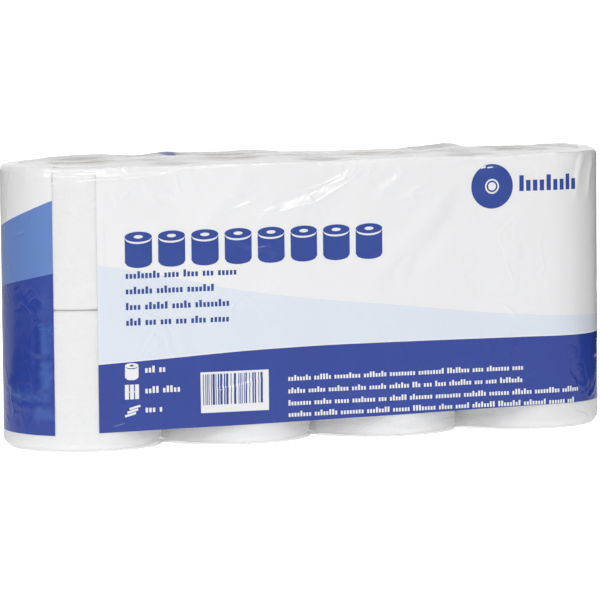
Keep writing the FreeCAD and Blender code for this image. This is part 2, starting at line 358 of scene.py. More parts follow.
class Crease:
    """A fold pulled in the film along a line of points: a narrow ridge or a slanting step."""

    def __init__(self, kind, width, height, *points):
        self.kind = kind
        self.width = width
        self.height = height
        self.points = [Vector(point) for point in points]
        self.low = Vector((min(p.x for p in self.points), min(p.y for p in self.points)))
        self.high = Vector((max(p.x for p in self.points), max(p.y for p in self.points)))

    def near(self, across, up, margin):
        """True within a margin of the fold's own box."""
        inside = self.low.x - margin < across < self.high.x + margin
        return inside and self.low.y - margin < up < self.high.y + margin

    def nearest(self, across, up):
        """Distance off the line, with its side as sign, and the share along it."""
        best = None
        spans = len(self.points) - 1
        for number in range(spans):
            start, end = self.points[number], self.points[number + 1]
            run = end - start
            offset = Vector((across, up)) - start
            share = min(max(offset.dot(run) / run.length_squared, 0.0), 1.0)
            away = offset - run * share
            distance = away.length
            if best is None or distance < abs(best[0]):
                side = 1 if run.x * away.y - run.y * away.x < 0 else -1
                best = (distance * side, (number + share) / spans)
        return best

    def lift(self, across, up):
        """Height of the fold at a place on the sleeve."""
        if not self.near(across, up, 3.2 * self.width):
            return 0.0
        distance, share = self.nearest(across, up)
        fade = min(share, 1 - share, 0.3) / 0.3
        fade = fade * fade * (3 - 2 * fade)
        ratio = distance / self.width
        if self.kind == "ridge":
            return self.height * fade * math.exp(-abs(ratio) ** 1.3)
        return self.height * fade * ratio * math.exp(0.5 - ratio**2 / 2)


# The folds seen on the front: kind, width, height, then places by distance from the left roll's
# front and height above the ground. A step faces the upper left of its line.
FOLDS = (
    ("step", 3.2, 0.62, (114, 158), (128, 164), (146, 169), (163, 176), (176, 185), (184, 195)),
    ("ridge", 0.9, 0.65, (119, 164), (137, 171.4), (149, 174.4), (162, 178.5), (171, 182.5), (170, 193)),
    ("ridge", 0.9, 0.70, (111, 155), (125, 159), (136, 162), (150, 164), (164, 171.6),
     (179, 179.7), (192, 192)),
    ("ridge", 0.8, 0.45, (145, 174), (150, 163.5)),
    ("ridge", 1.9, 0.95, (109, 154.5), (118, 160), (127, 163.5)),
    ("ridge", 0.8, 0.40, (158, 175), (172, 180), (178, 190)),
    ("ridge", 1.3, 0.75, (84, 160), (97, 163.6), (108, 167)),
    ("ridge", 1.0, 0.45, (88, 170), (100, 173)),
    ("ridge", 0.9, 0.60, (-46, 185), (-28.5, 190.5), (-15, 191.3), (-2, 192.3), (24, 192.8)),
    ("ridge", 0.9, 0.65, (-28, 182), (-20, 183), (-12, 184.6), (17, 185), (40, 187), (58, 191), (74, 193.5)),
    ("ridge", 0.8, 0.50, (-25, 186.6), (-13, 186.9), (6, 187), (30, 189)),
    ("step", 1.8, 0.60, (-56, 188), (-30, 188.5), (0, 189.5), (40, 190), (66, 192)),
    ("ridge", 0.8, 0.40, (-42, 180), (-30, 184), (-24, 188)),
    ("ridge", 1.0, 0.60, (62, 193), (97, 192.6), (113, 192.5), (138, 191.6)),
    ("step", 6.5, 0.90, (262, 176), (246, 153), (231, 136), (211, 121), (186, 104)),
    ("step", 6.0, 0.55, (119, 184), (100, 175), (83, 158), (70, 143)),
    ("ridge", 2.4, 0.50, (205, 159), (219, 166), (238, 168)),
    ("step", 3.0, 0.50, (193, 169), (205, 177), (217, 185)),
    ("step", 1.5, 0.60, (250, 185), (269, 186.6), (292, 185)),
    ("step", 1.6, 0.50, (266, 195), (288, 193), (320, 190)),
    ("step", 3.2, 0.90, (344, 158), (346, 177), (350, 188), (357, 196)),
    ("step", 3.0, 0.70, (358, 158), (361, 178), (368, 192)),
    ("ridge", 0.9, 0.45, (2, 16.4), (9, 18.2), (15, 19.4)),
    ("step", 1.6, 0.50, (66, 39), (95, 42), (121, 49)),
    ("step", 3.2, 0.60, (-41, 128), (-43, 77), (-41, 16)),
    ("ridge", 1.6, 0.35, (-52, 52), (-40, 51), (-26, 53)),
    ("ridge", 1.4, 0.35, (-58, 66), (-47, 62), (-36, 61)),
    ("ridge", 1.2, 0.30, (-49, 30), (-38, 27), (-24, 26.5)),
    ("step", 2.2, 0.35, (-54, 106), (-52, 70), (-55, 24)),
    ("step", 2.0, 0.45, (-86, 40), (-56, 35.5), (-38, 35)),
    ("step", 5.0, 0.45, (20, 118), (60, 100), (110, 92)),
    ("step", 5.0, 0.40, (236, 110), (275, 96), (318, 92)),
    ("step", 4.0, 0.35, (150, 34), (196, 30), (250, 36)),
    ("ridge", 4.0, 0.40, (54, 22), (56, 60), (52, 96)),
    ("ridge", 4.0, 0.35, (268, 20), (270, 52), (273, 88)),
)


# Places where the film clings to the tissue and its ink looks lighter: middle and half sizes.
CLINGS = (
    (-41.5, 78.0, 4.6, 10.0, 0.85),
    (-42.5, 52.5, 4.4, 9.5, 1.0),
    (-45.0, 26.5, 7.5, 3.6, 1.0),
    (-64.0, 38.0, 25.0, 2.4, 0.8),
    (-43.0, 100.0, 4.0, 7.0, 0.25),
)


def cling(along, height):
    """Share of cling at a place on the film, with a ragged edge."""
    signed = along if along < PERIMETER / 2 else along - PERIMETER
    ragged = noise.noise(Vector((signed / 5, height / 3, 5.0)))
    total = 0.0
    for across, up, half_width, half_height, share in CLINGS:
        inside = min(half_width - abs(signed - across), half_height - abs(height - up))
        edge = min(max((inside + 1.4 + ragged * 2) / 2.8, 0.0), 1.0)
        total = max(total, share * edge * (0.8 + 0.35 * ragged))
    return min(total, 1.0)


class Gathers:
    """Small gathers that run off the rims, kept in bins along the sleeve so they are found fast."""

    BIN = 8.0

    def __init__(self, count):
        draw = random.Random(41)
        self.bins = {}
        for _ in range(count):
            along = draw.uniform(0, PERIMETER)
            at_top = draw.random() < 0.6
            reach = draw.uniform(5, 26) if at_top else draw.uniform(4, 12)
            gather = (
                along, at_top, reach, draw.uniform(1.3, 3.2), draw.uniform(-0.35, 0.35),
                draw.uniform(-0.5, 0.5)
            )
            for number in (-1, 0, 1):
                key = int(along / self.BIN) + number
                self.bins.setdefault(key, []).append(gather)

    def lift(self, along, height):
        """Height of the gathers at a place on the wall."""
        total = 0.0
        for place, at_top, reach, width, rise, lean in self.bins.get(int(along / self.BIN), ()):
            depth = FILM_TOP - height if at_top else height
            if depth > reach * 1.3:
                continue
            offset = along - place - lean * depth
            total += rise * bump_line(offset, width) * bump_line(depth, reach * 0.6)
        return total


# Near the foot the film is drawn in between two rolls and lies close round both of them.
NOTCH_HEIGHT = 13.5
NOTCH_DEPTH = 50.0


def foot_pull(x, height):
    """Share of its reach that the film keeps near the foot, between the rolls."""
    if height > NOTCH_HEIGHT:
        return 1.0
    offset = min(abs(x - axis) for axis in ROLL_AXES)
    on_roll = math.sqrt(max(FILM_RADIUS**2 - offset**2, 0.0))
    deepest = max(on_roll, FILM_RADIUS - NOTCH_DEPTH)
    draw = 1 - height / NOTCH_HEIGHT
    draw = min(draw * 3.2, 1.0)
    draw = draw * draw * (3 - 2 * draw)
    return 1 + (deepest / FILM_RADIUS - 1) * draw


# How far the crumpled film stands up along the top, by distance along the row.
HEAVE = (
    (-217, 0.2), (-196, 0.2), (-178, 0.9), (-160, 2.2), (-140, 2.6), (-118, 2.4), (-96, 2.6), (-74, 2.1),
    (-48, 2.0), (-22, 2.4), (2, 1.5), (30, -0.5), (62, -0.6), (84, 0.0), (100, 1.9), (124, 3.4),
    (138, -0.5), (178, -0.9), (200, 1.6), (217, 5.0)
)


# A small tuft of film by the far rim and the dip in front of it: middle, width and height.
TUFT = ((-86.5, 38.0, 7.0, 1.0), (-86.5, 27.0, 7.5, -2.2))

# Passes that refine the grid: reach beside a fold, widest fold taken, and whether the rim is too.
FINE_PASSES = ((2.1, math.inf, True), (0.7, 1.4, False), (0.1, 0.95, False))
FINE_RIM = 3.0


class FilmSurface:
    """The film's shape: a sleeve with round ends, slack and creased, folded flat over both ends."""

    # Along the front of each roll the film is taut and close, and closer still at the layer seam.
    TAUT_REACH = 22.0
    CLOSE_REACH = 26.0
    CLOSE_DEPTH = 0.35
    SEAM_REACH = 2.6
    SEAM_DEPTH = 0.30

    # Between two rolls it lies a little hollow, but never in a roll.
    HOLLOW_REACH = 24.0
    HOLLOW_DEPTH = 0.9
    ROLL_ROOM = 0.5

    # On the top it sags into the tubes and between the rolls, and crumples at three sizes.
    TUBE_SAG = 1.3
    GAP_SAG = 0.9
    CRUMPLES = ((28.0, 1.0), (12.0, 0.36), (5.0, 0.10))
    CRUMPLE_HEIGHT = 0.8

    def __init__(self, settings):
        self.ripple = settings.ripple / MM
        self.creases = [Crease(*fold) for fold in FOLDS]
        self.gathers = Gathers(settings.gathers)

    def is_fine(self, along, height, beside, widest, at_rim):
        """True where a pass has to refine the grid: by a fold, and along the front's top rim."""
        signed = along if along < PERIMETER / 2 else along - PERIMETER
        in_front = -ARC / 2 < signed < STRAIGHT + ARC / 2
        if at_rim and in_front and height > FILM_TOP - FINE_RIM:
            return True
        for crease in self.creases:
            reach = beside + crease.width
            if crease.width < widest and crease.near(signed, height, reach):
                if abs(crease.nearest(signed, height)[0]) < reach:
                    return True
        return False

    def wall_relief(self, along, x, height, on_straight):
        """How far the wall stands out from the plain sleeve."""
        signed = along if along < PERIMETER / 2 else along - PERIMETER
        gap = min(abs(x - contact) for contact in ROLL_CONTACTS) if on_straight else HALF_ROW
        tangent = min(abs(x - axis) for axis in ROLL_AXES) if on_straight else 0.0
        slack = self.ripple * (1 - 0.6 * bump_line(tangent, self.TAUT_REACH))
        relief = slack * noise.noise(Vector((along / 42, height / 30, 3.1)))
        relief += 0.35 * slack * noise.noise(Vector((along / 11, height / 16, 7.7)))
        relief -= self.HOLLOW_DEPTH * bump_line(gap, self.HOLLOW_REACH)
        seam = self.SEAM_DEPTH * bump_line(height - LAYER_SEAM, self.SEAM_REACH)
        relief -= (self.CLOSE_DEPTH + seam) * bump_line(tangent, self.CLOSE_REACH)
        relief += self.gathers.lift(along, height)
        for crease in self.creases:
            relief += crease.lift(signed, height)
        offset = min(tangent, ROLL_RADIUS)
        hollow = ROLL_RADIUS - math.sqrt(ROLL_RADIUS**2 - offset**2)
        return max(relief, -self.ROLL_ROOM - hollow)

    def end_relief(self, place):
        """How far the folded top stands off its plane, before the rim's own relief."""
        distance = min(math.hypot(place.x - axis, place.y) for axis in ROLL_AXES)
        sag = -self.TUBE_SAG * max(1 - (distance / (CORE_RADIUS - 1)) ** 2, 0.0) ** 1.5
        if distance > ROLL_RADIUS - 4:
            sag -= self.GAP_SAG * min((distance - ROLL_RADIUS + 4) / 16, 1.0) ** 1.5
        crumple = 0.0
        for size, share in self.CRUMPLES:
            fold = noise.noise(Vector((place.x / size, place.y / (size * 0.6), size)))
            crumple += share * (0.3 - abs(fold))
        heave = smooth_through(HEAVE, place.x) * (0.45 + 0.55 * min(max(place.y / 40, -1.0), 1.0))
        for x, y, width, rise in TUFT:
            heave += rise * bump_line(math.hypot(place.x - x, place.y - y), width)
        return sag + crumple * self.CRUMPLE_HEIGHT + heave

    def point(self, along, climb):
        """The film's place for a distance round the sleeve and up its section."""
        middle, outward = round_the_row(along)
        reach, height, facing_out, facing_up = up_the_section(climb)
        on_straight = abs(outward.x) < 1e-9
        pull = foot_pull(middle.x, height) if on_straight else 1.0
        place = middle + outward * reach * pull
        place.z = height
        lift = self.wall_relief(along, middle.x, height, on_straight) * max(reach / FILM_RADIUS, 0) ** 3
        if height > FILM_TOP / 2:
            edge = min(max((FILM_RADIUS + 2 - reach) / 10, 0.0), 1.0)
            if facing_up <= 0:
                edge *= max(1 - (FILM_TOP - TOP_ROUND - height) / 12, 0.0)
            place.z += self.end_relief(place) * edge
        else:
            edge = min(max((FOOT_FLAT - 2 - reach) / 6, 0.0), 1.0)
            place.z += 0.3 * edge if facing_up < 0 else 0.0
            lift *= 1 - edge if facing_up < 0 else 1.0
        place += outward * lift * facing_out
        if facing_up > 0:
            place.z += lift * facing_up
        return place


def add_node(tree, kind, settings=None, links=None):
    """Add one shader node, set its properties and sockets, and link the nodes or sockets it reads."""
    node = tree.nodes.new("ShaderNode" + kind)
    for name, value in (settings or {}).items():
        if isinstance(name, int) or name in node.inputs:
            node.inputs[name].default_value = value
        else:
            setattr(node, name, value)
    for name, source in (links or {}).items():
        is_node = isinstance(source, bpy.types.Node)
        tree.links.new(source.outputs[0] if is_node else source, node.inputs[name])
    return node


def new_material(name):
    """Start an empty material, and give back its node tree too."""
    material = bpy.data.materials.new(name)
    material.use_nodes = True
    material.node_tree.nodes.clear()
    return material, material.node_tree


# Index of polyethylene, raised a little for the sheet's second surface.
FILM_INDEX = 1.62


def crinkle_lines(tree, place, size, width):
    """Thin ridges where a slow noise crosses its middle, over about a third of the film."""
    field = add_node(
        tree, "TexNoise", {"Scale": 1 / size, "Detail": 1.5, "Distortion": 0.4}, {"Vector": place}
    )
    centred = add_node(tree, "Math", {"operation": "SUBTRACT", 1: 0.5}, {0: field})
    distance = add_node(tree, "Math", {"operation": "ABSOLUTE"}, {0: centred})
    ridge = add_node(
        tree, "MapRange",
        {"interpolation_type": "SMOOTHSTEP", "From Max": width, "To Min": 1.0, "To Max": 0.0},
        {"Value": distance}
    )
    patches = add_node(tree, "TexNoise", {"Scale": 1 / (size * 2.2), "Detail": 0.0}, {"Vector": place})
    mask = add_node(
        tree, "MapRange", {"interpolation_type": "SMOOTHSTEP", "From Min": 0.5, "From Max": 0.68},
        {"Value": patches}
    )
    return add_node(tree, "Math", {"operation": "MULTIPLY"}, {0: ridge, 1: mask})


def add_bump(tree, distance, height, under=None):
    """One layer of bump over another, its distance in metres."""
    links = {"Height": height}
    if under is not None:
        links["Normal"] = under
    return add_node(tree, "Bump", {"Strength": 1.0, "Distance": distance}, links)


def film_bump(tree):
    """Slack ripples and crinkles of thin blown film, too small for the mesh."""
    place = add_node(tree, "TexCoord").outputs["Object"]
    broad = add_node(
        tree, "TexNoise", {"Scale": 1 / (14 * MM), "Detail": 2.0, "Roughness": 0.45}, {"Vector": place}
    )
    fine = add_node(tree, "TexNoise", {"Scale": 1 / (4 * MM), "Detail": 1.0}, {"Vector": place})
    layer = add_bump(tree, 0.40 * MM, broad)
    layer = add_bump(tree, 0.04 * MM, fine, layer)
    layer = add_bump(tree, 0.28 * MM, crinkle_lines(tree, place, 34 * MM, 0.05), layer)
    return add_bump(tree, 0.12 * MM, crinkle_lines(tree, place, 13 * MM, 0.07), layer)


def clear_film_material(name, haze):
    """Blown polyethylene film: clear, a little milky, with a sharp gloss that catches on folds."""
    material, tree = new_material(name)
    bump = film_bump(tree)
    sides = add_node(tree, "NewGeometry")
    # A thin sheet bends no light, so its back takes the inverse index and reflects like its front.
    index = add_node(
        tree, "Math", {"operation": "MULTIPLY_ADD", 1: 1 / FILM_INDEX - FILM_INDEX, 2: FILM_INDEX},
        {0: sides.outputs["Backfacing"]}
    )
    gloss_share = add_node(tree, "Fresnel", {}, {"IOR": index, "Normal": bump})
    see_through = add_node(tree, "BsdfTransparent", {"Color": (0.99, 0.99, 0.99, 1)})
    gloss = add_node(tree, "BsdfGlossy", {"Color": (1, 1, 1, 1), "Roughness": 0.12}, {"Normal": bump})
    scattered_back = add_node(tree, "BsdfDiffuse", {"Color": (0.97, 0.97, 0.97, 1)}, {"Normal": bump})
    scattered_on = add_node(tree, "BsdfTranslucent", {"Color": (0.97, 0.97, 0.97, 1)})
    milk = add_node(tree, "MixShader", {0: 0.5}, {1: scattered_back, 2: scattered_on})
    clear = add_node(tree, "MixShader", {}, {0: gloss_share, 1: see_through, 2: gloss})
    mixed = add_node(tree, "MixShader", {0: haze}, {1: clear, 2: milk})
    add_node(tree, "OutputMaterial", {}, {"Surface": mixed})
    return material


# The gloss over print: a polished film with the usual index of a plastic.
PRINT_GLOSS = {"Roughness": 0.17, "IOR": 1.5}

# What the tissue's light adds to the ink where the film clings to it.
CLING_LIGHT = (0.018, 0.05, 0.10)


def printed_film_material(name, colour, depth):
    """Film printed with solid ink on its inner side, under the film's own gloss, with lighter patches at
    random painted over the ink as a stand-in for the gloss's uneven reflections.
    """
    material, tree = new_material(name)
    place = add_node(tree, "TexCoord")
    # Lighter patches at random: painted sheen that stands in for uneven reflections in the film's gloss.
    painted_sheen_patches = add_node(
        tree, "TexNoise", {"Scale": 1 / (60 * MM), "Detail": 2.0}, {"Vector": place.outputs["Object"]}
    )
    # The painted sheen's lighter colour.
    thin = tuple(min(channel * (1 + depth), 1.0) for channel in colour)
    ink = add_node(tree, "Mix", {"data_type": "RGBA", 6: (*colour, 1), 7: (*thin, 1)}, {0: painted_sheen_patches})
    # Where the film clings to the tissue, light comes back through the ink.
    contact = add_node(tree, "Attribute", {"attribute_name": "cling"})
    lit = tuple(channel + extra for channel, extra in zip(colour, CLING_LIGHT))
    shown = add_node(
        tree, "Mix", {"data_type": "RGBA", 7: (*lit, 1)}, {0: contact.outputs["Fac"], 6: ink.outputs[2]}
    )
    bump = film_bump(tree)
    surface = add_node(
        tree, "BsdfPrincipled", PRINT_GLOSS, {"Base Color": shown.outputs[2], "Normal": bump}
    )
    add_node(tree, "OutputMaterial", {}, {"Surface": surface})
    return material


def ink_material(name, colour):
    """Small printed marks: the same ink and gloss as the fields, without their painted sheen patches."""
    material, tree = new_material(name)
    bump = film_bump(tree)
    surface = add_node(
        tree, "BsdfPrincipled", {"Base Color": (*colour, 1), **PRINT_GLOSS}, {"Normal": bump}
    )
    add_node(tree, "OutputMaterial", {}, {"Surface": surface})
    return material


def dimmed(colour, share):
    """A colour at a share of its brightness, with its alpha."""
    return (*(channel * share for channel in colour), 1)


def matt_paper(tree, shades, pattern, bump, roughness, level):
    """The last of a paper: matt fibres between two shades of a pattern, over their relief."""
    shade = add_node(tree, "Mix", {"data_type": "RGBA", 6: shades[0], 7: shades[1]}, {0: pattern})
    surface = add_node(
        tree, "BsdfPrincipled", {"Roughness": roughness, "Specular IOR Level": level},
        {"Base Color": shade.outputs[2], "Normal": bump}
    )
    add_node(tree, "OutputMaterial", {}, {"Surface": surface})


def tissue_wall_material(settings):
    """Creped three-ply tissue, embossed all over: matt, soft, with small pressed dimples."""
    material, tree = new_material("embossed_creped_tissue")
    unrolled = add_node(tree, "UVMap", {"uv_map": "unrolled"})
    dimples = add_node(
        tree, "TexVoronoi",
        {"Scale": MM / settings.emboss_spacing, "feature": "SMOOTH_F1", "Smoothness": 0.6},
        {"Vector": unrolled}
    )
    # The crepe's wrinkles are 1.6 mm high and run five times as far round the roll.
    stretched = add_node(tree, "Mapping", {"Scale": (0.22, 1, 1)}, {"Vector": unrolled})
    crepe = add_node(tree, "TexNoise", {"Scale": 1 / 1.6, "Detail": 3.0}, {"Vector": stretched})
    pressed = add_bump(tree, 0.30 * MM, dimples)
    rough = add_bump(tree, 0.22 * MM, crepe, pressed)
    shades = (dimmed(settings.tissue, 1), dimmed(settings.tissue, 0.94))
    matt_paper(tree, shades, crepe, rough, 0.95, 0.2)
    return material


def tissue_end_material(settings):
    """The cut edge of the wound tissue: fine turns, drawn coarser than real so that they show."""
    material, tree = new_material("cut_tissue_turns")
    unrolled = add_node(tree, "UVMap", {"uv_map": "unrolled"})
    turns = add_node(
        tree, "TexWave",
        {
            "wave_type": "BANDS", "bands_direction": "Y", "Scale": 0.314 * MM / settings.turn_spacing,
            "Distortion": 1.4, "Detail": 2.0, "Detail Scale": 0.6
        },
        {"Vector": unrolled}
    )
    shades = (dimmed(settings.tissue, 0.90), dimmed(settings.tissue, 1))
    bump = add_bump(tree, 0.15 * MM, turns.outputs["Fac"])
    matt_paper(tree, shades, turns.outputs["Fac"], bump, 0.97, 0.15)
    return material


def card_material(settings):
    """Spiral wound grey-brown card: matt, with fibres about 2 mm long."""
    material, tree = new_material("spiral_wound_card")
    unrolled = add_node(tree, "UVMap", {"uv_map": "unrolled"})
    fibres = add_node(
        tree, "TexNoise", {"Scale": 1 / 2.2, "Detail": 5.0, "Roughness": 0.7}, {"Vector": unrolled}
    )
    shades = (dimmed(settings.card, 0.72), dimmed(settings.card, 1))
    bump = add_bump(tree, 0.10 * MM, fibres)
    matt_paper(tree, shades, fibres, bump, 0.9, 0.25)
    return material


def finish_piece(bm, name, materials, scale=MM):
    """Turn a bmesh in millimetres into a smooth object in metres, at the origin."""
    bmesh.ops.scale(bm, vec=(scale, scale, scale), verts=bm.verts)
    mesh = bpy.data.meshes.new(name)
    for face in bm.faces:
        face.smooth = True
    bm.to_mesh(mesh)
    bm.free()
    for material in materials:
        mesh.materials.append(material)
    piece = bpy.data.objects.new(name, mesh)
    bpy.context.collection.objects.link(piece)
    return piece


# Start and end along the row of a dark patch of painted shade on the folded top, where the fold opens over
# the dark space between the rolls, and its share of the fold behind the turned-in print.
GAP_SHADE_PATCH = (-94.0, -83.0, 0.38)

# The film's materials, in the order of their slots.
CLEAR, WHITE, DARK_BLUE, MID_BLUE, PALE_BLUE, FOLDED = range(6)


def material_index(column, row):
    """Which of the film's materials a grid cell takes."""
    stretch, share = stretch_of(row)
    middle, outward = round_the_row(along_at(column))
    if stretch == len(ROW_PLAN) - 1 and outward.y > 0.9:
        # A dark oblong of painted shade in the dark blue ink, standing for the shade seen between the rolls
        # where the fold opens.
        if GAP_SHADE_PATCH[0] < middle.x < GAP_SHADE_PATCH[1] and share < GAP_SHADE_PATCH[2]:
            return DARK_BLUE
    if stretch in (0, len(ROW_PLAN) - 1):
        return FOLDED
    if CLEAR_FROM < column < CLEAR_TO or stretch in FOOT_STRETCHES:
        return CLEAR
    on_front = print_place(along_at(column)) < FIELD_CHANGE
    if stretch == BAND_STRETCH:
        return DARK_BLUE
    if stretch == FIELD_STRETCH:
        return PALE_BLUE if on_front else MID_BLUE
    if stretch == LINE_STRETCH and not on_front:
        return MID_BLUE
    return WHITE


def grid_place(co):
    """Column and row, with fractions, of a point of the flat grid."""
    return (co.x + 0.5) * SLEEVE_COLUMNS, (co.y + 0.5) * SLEEVE_ROWS


def sleeve_place(column, row):
    """Distance along the sleeve and distance up the section of a grid place."""
    along = along_at(column)
    edges = row_edges(print_place(along))
    stretch, share = stretch_of(row)
    return along, edges[stretch] + share * (edges[stretch + 1] - edges[stretch])


class PACK_OT_film(bpy.types.Operator):
    """Make the printed film, creased over the rolls and closed at both ends"""

    bl_idname = "roll_pack.film"
    bl_label = "Film"

    def execute(self, context):
        settings = context.scene.roll_pack_film
        surface = FilmSurface(settings)
        bm = bmesh.new()
        bmesh.ops.create_grid(bm, x_segments=SLEEVE_COLUMNS, y_segments=SLEEVE_ROWS, size=0.5)
        for face in bm.faces:
            face.material_index = material_index(*grid_place(face.calc_center_median()))
        for plan in FINE_PASSES:
            self.refine(bm, surface, plan)
        contact = bm.verts.layers.float.new("cling")
        for vert in bm.verts:
            along, climb = sleeve_place(*grid_place(vert.co))
            vert[contact] = cling(along, up_the_section(climb)[1])
            vert.co = surface.point(along, climb)
        # The grid's two ends meet on the left, and its first and last rows lie on the middle line.
        bmesh.ops.remove_doubles(bm, verts=bm.verts, dist=0.02)
        bmesh.ops.dissolve_degenerate(bm, edges=bm.edges, dist=0.01)
        bmesh.ops.recalc_face_normals(bm, faces=bm.faces)
        inks = (
            clear_film_material("blown_polyethylene_film", settings.haze),
            printed_film_material("white_ink_on_film", tuple(settings.white), 0.02),
            printed_film_material("dark_blue_ink_on_film", tuple(settings.dark_blue), 0.25),
            printed_film_material("mid_blue_ink_on_film", tuple(settings.mid_blue), 0.12),
            printed_film_material("pale_blue_ink_on_film", tuple(settings.pale_blue), 0.02),
            clear_film_material("folded_polyethylene_film", settings.folded_haze)
        )
        film = finish_piece(bm, "printed_film", inks)
        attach(film, "root")
        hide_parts("film_wrap")
        return {"FINISHED"}

    def refine(self, bm, surface, plan):
        """Divide the grid once where a pass needs it."""
        cells = []
        for face in bm.faces:
            along, climb = sleeve_place(*grid_place(face.calc_center_median()))
            if surface.is_fine(along, up_the_section(climb)[1], *plan):
                cells.append(face)
        edges = list({edge for face in cells for edge in face.edges})
        bmesh.ops.subdivide_edges(bm, edges=edges, cuts=1, use_grid_fill=True)


class Sheet:
    """Flat artwork for the film, drawn by distance along the sleeve and height, then laid on it."""

    # Largest cell of a mark, small enough to follow the film's ripples.
    CELL = 1.6

    def __init__(self, lift=0.1):
        self.bm = bmesh.new()
        self.lift = lift

    def take(self, verts, s, z, wide, high, turn=0.0):
        """Scale, turn and move newly made points."""
        cosine, sine = math.cos(turn), math.sin(turn)
        for vert in verts:
            across, up = vert.co.x * wide, vert.co.y * high
            vert.co = Vector((s + across * cosine - up * sine, z + across * sine + up * cosine, 0))

    def bar(self, s, z, wide, high, turn=0.0):
        """A solid oblong with its middle at a place."""
        columns, rows = (max(1, math.ceil(side / self.CELL)) for side in (wide, high))
        made = bmesh.ops.create_grid(self.bm, x_segments=columns, y_segments=rows, size=0.5)
        self.take(made["verts"], s, z, wide, high, turn)
        return made["verts"]

    def ring(self, s, z, outer, inner, squash=1.0):
        """A flat ring, or a disc where the inner size is nought."""
        steps = 40 if outer > 5 else 24
        circles = max(1, math.ceil((outer - inner) / self.CELL))
        rims = []
        for number in range(circles + 1):
            radius = inner + (outer - inner) * number / circles
            if radius <= 0:
                continue
            made = bmesh.ops.create_circle(self.bm, segments=steps, radius=radius)
            self.take(made["verts"], s, z, 1, squash)
            rims.append(made["verts"])
        for near, far in zip(rims, rims[1:]):
            bmesh.ops.bridge_loops(self.bm, edges=self.edges_in(near) + self.edges_in(far))
        if inner <= 0:
            bmesh.ops.contextual_create(self.bm, geom=self.edges_in(rims[0]))

    def edges_in(self, verts):
        """The edges that join the points of one circle."""
        return [edge for edge in self.bm.edges if all(vert in verts for vert in edge.verts)]

    def drum(self, s, low, high, wide, sag):
        """The side of an upright roll seen a little from above: straight sides, bowed ends."""
        for vert in self.bar(s, (low + high) / 2, wide, high - low):
            across = min(abs((vert.co.x - s) / (wide / 2)), 1.0)
            vert.co.y -= sag * math.sqrt(1 - across**2)

    def roll_sign(self, s, low, high, wide):
        """A small sign of a paper roll: its side and its end with the tube's hole."""
        sag = wide * 0.20
        self.drum(s, low + sag, high - sag - wide * 0.05, wide, sag)
        self.ring(s, high - sag, wide / 2, wide * 0.17, 0.36)

    def words(self, s, end, z, size, draw):
        """A line of plain blocks of uneven height, in uneven groups."""
        pitch = size * 0.50
        while s + pitch < end:
            for _ in range(draw.randint(3, 9)):
                if s + pitch > end:
                    break
                tall = size * draw.choice((0.58, 0.58, 0.60, 0.62, 0.88))
                self.bar(s + pitch * 0.36, z + tall / 2, pitch * 0.66, tall)
                s += pitch
            s += pitch * 0.9

    def lay_on(self, film, name, material):
        """Drop the artwork on the film and finish it as a piece."""
        for vert in self.bm.verts:
            middle, outward = round_the_row(vert.co.x)
            start = middle + outward * (FILM_RADIUS + 20)
            start.z = vert.co.y
            hit, normal, _, _ = film.ray_cast(start, -outward)
            if hit is None:
                raise RuntimeError(f"{name} misses the film")
            if normal.dot(outward) < 0:
                normal = -normal
            vert.co = hit + normal * self.lift
        self.bm.normal_update()
        for face in self.bm.faces:
            place = face.calc_center_median()
            middle = min(max(place.x, -HALF_ROW), HALF_ROW)
            if face.normal.dot(place - Vector((middle, 0, place.z))) < 0:
                face.normal_flip()
        piece = finish_piece(self.bm, name, (material,))
        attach(piece, "root")


def film_tree(film):
    """Search tree of the finished film, back in millimetres."""
    bm = bmesh.new()
    bm.from_mesh(film.data)
    bmesh.ops.scale(bm, vec=(1 / MM,) * 3, verts=bm.verts)
    tree = BVHTree.FromBMesh(bm)
    bm.free()
    return tree


def front(x):
    """Distance along the sleeve of a place on the front straight."""
    return x + HALF_ROW


def right_end(degrees):
    """Distance along the sleeve of a place on the right end, turned from the front."""
    return STRAIGHT + math.radians(degrees) * FILM_RADIUS


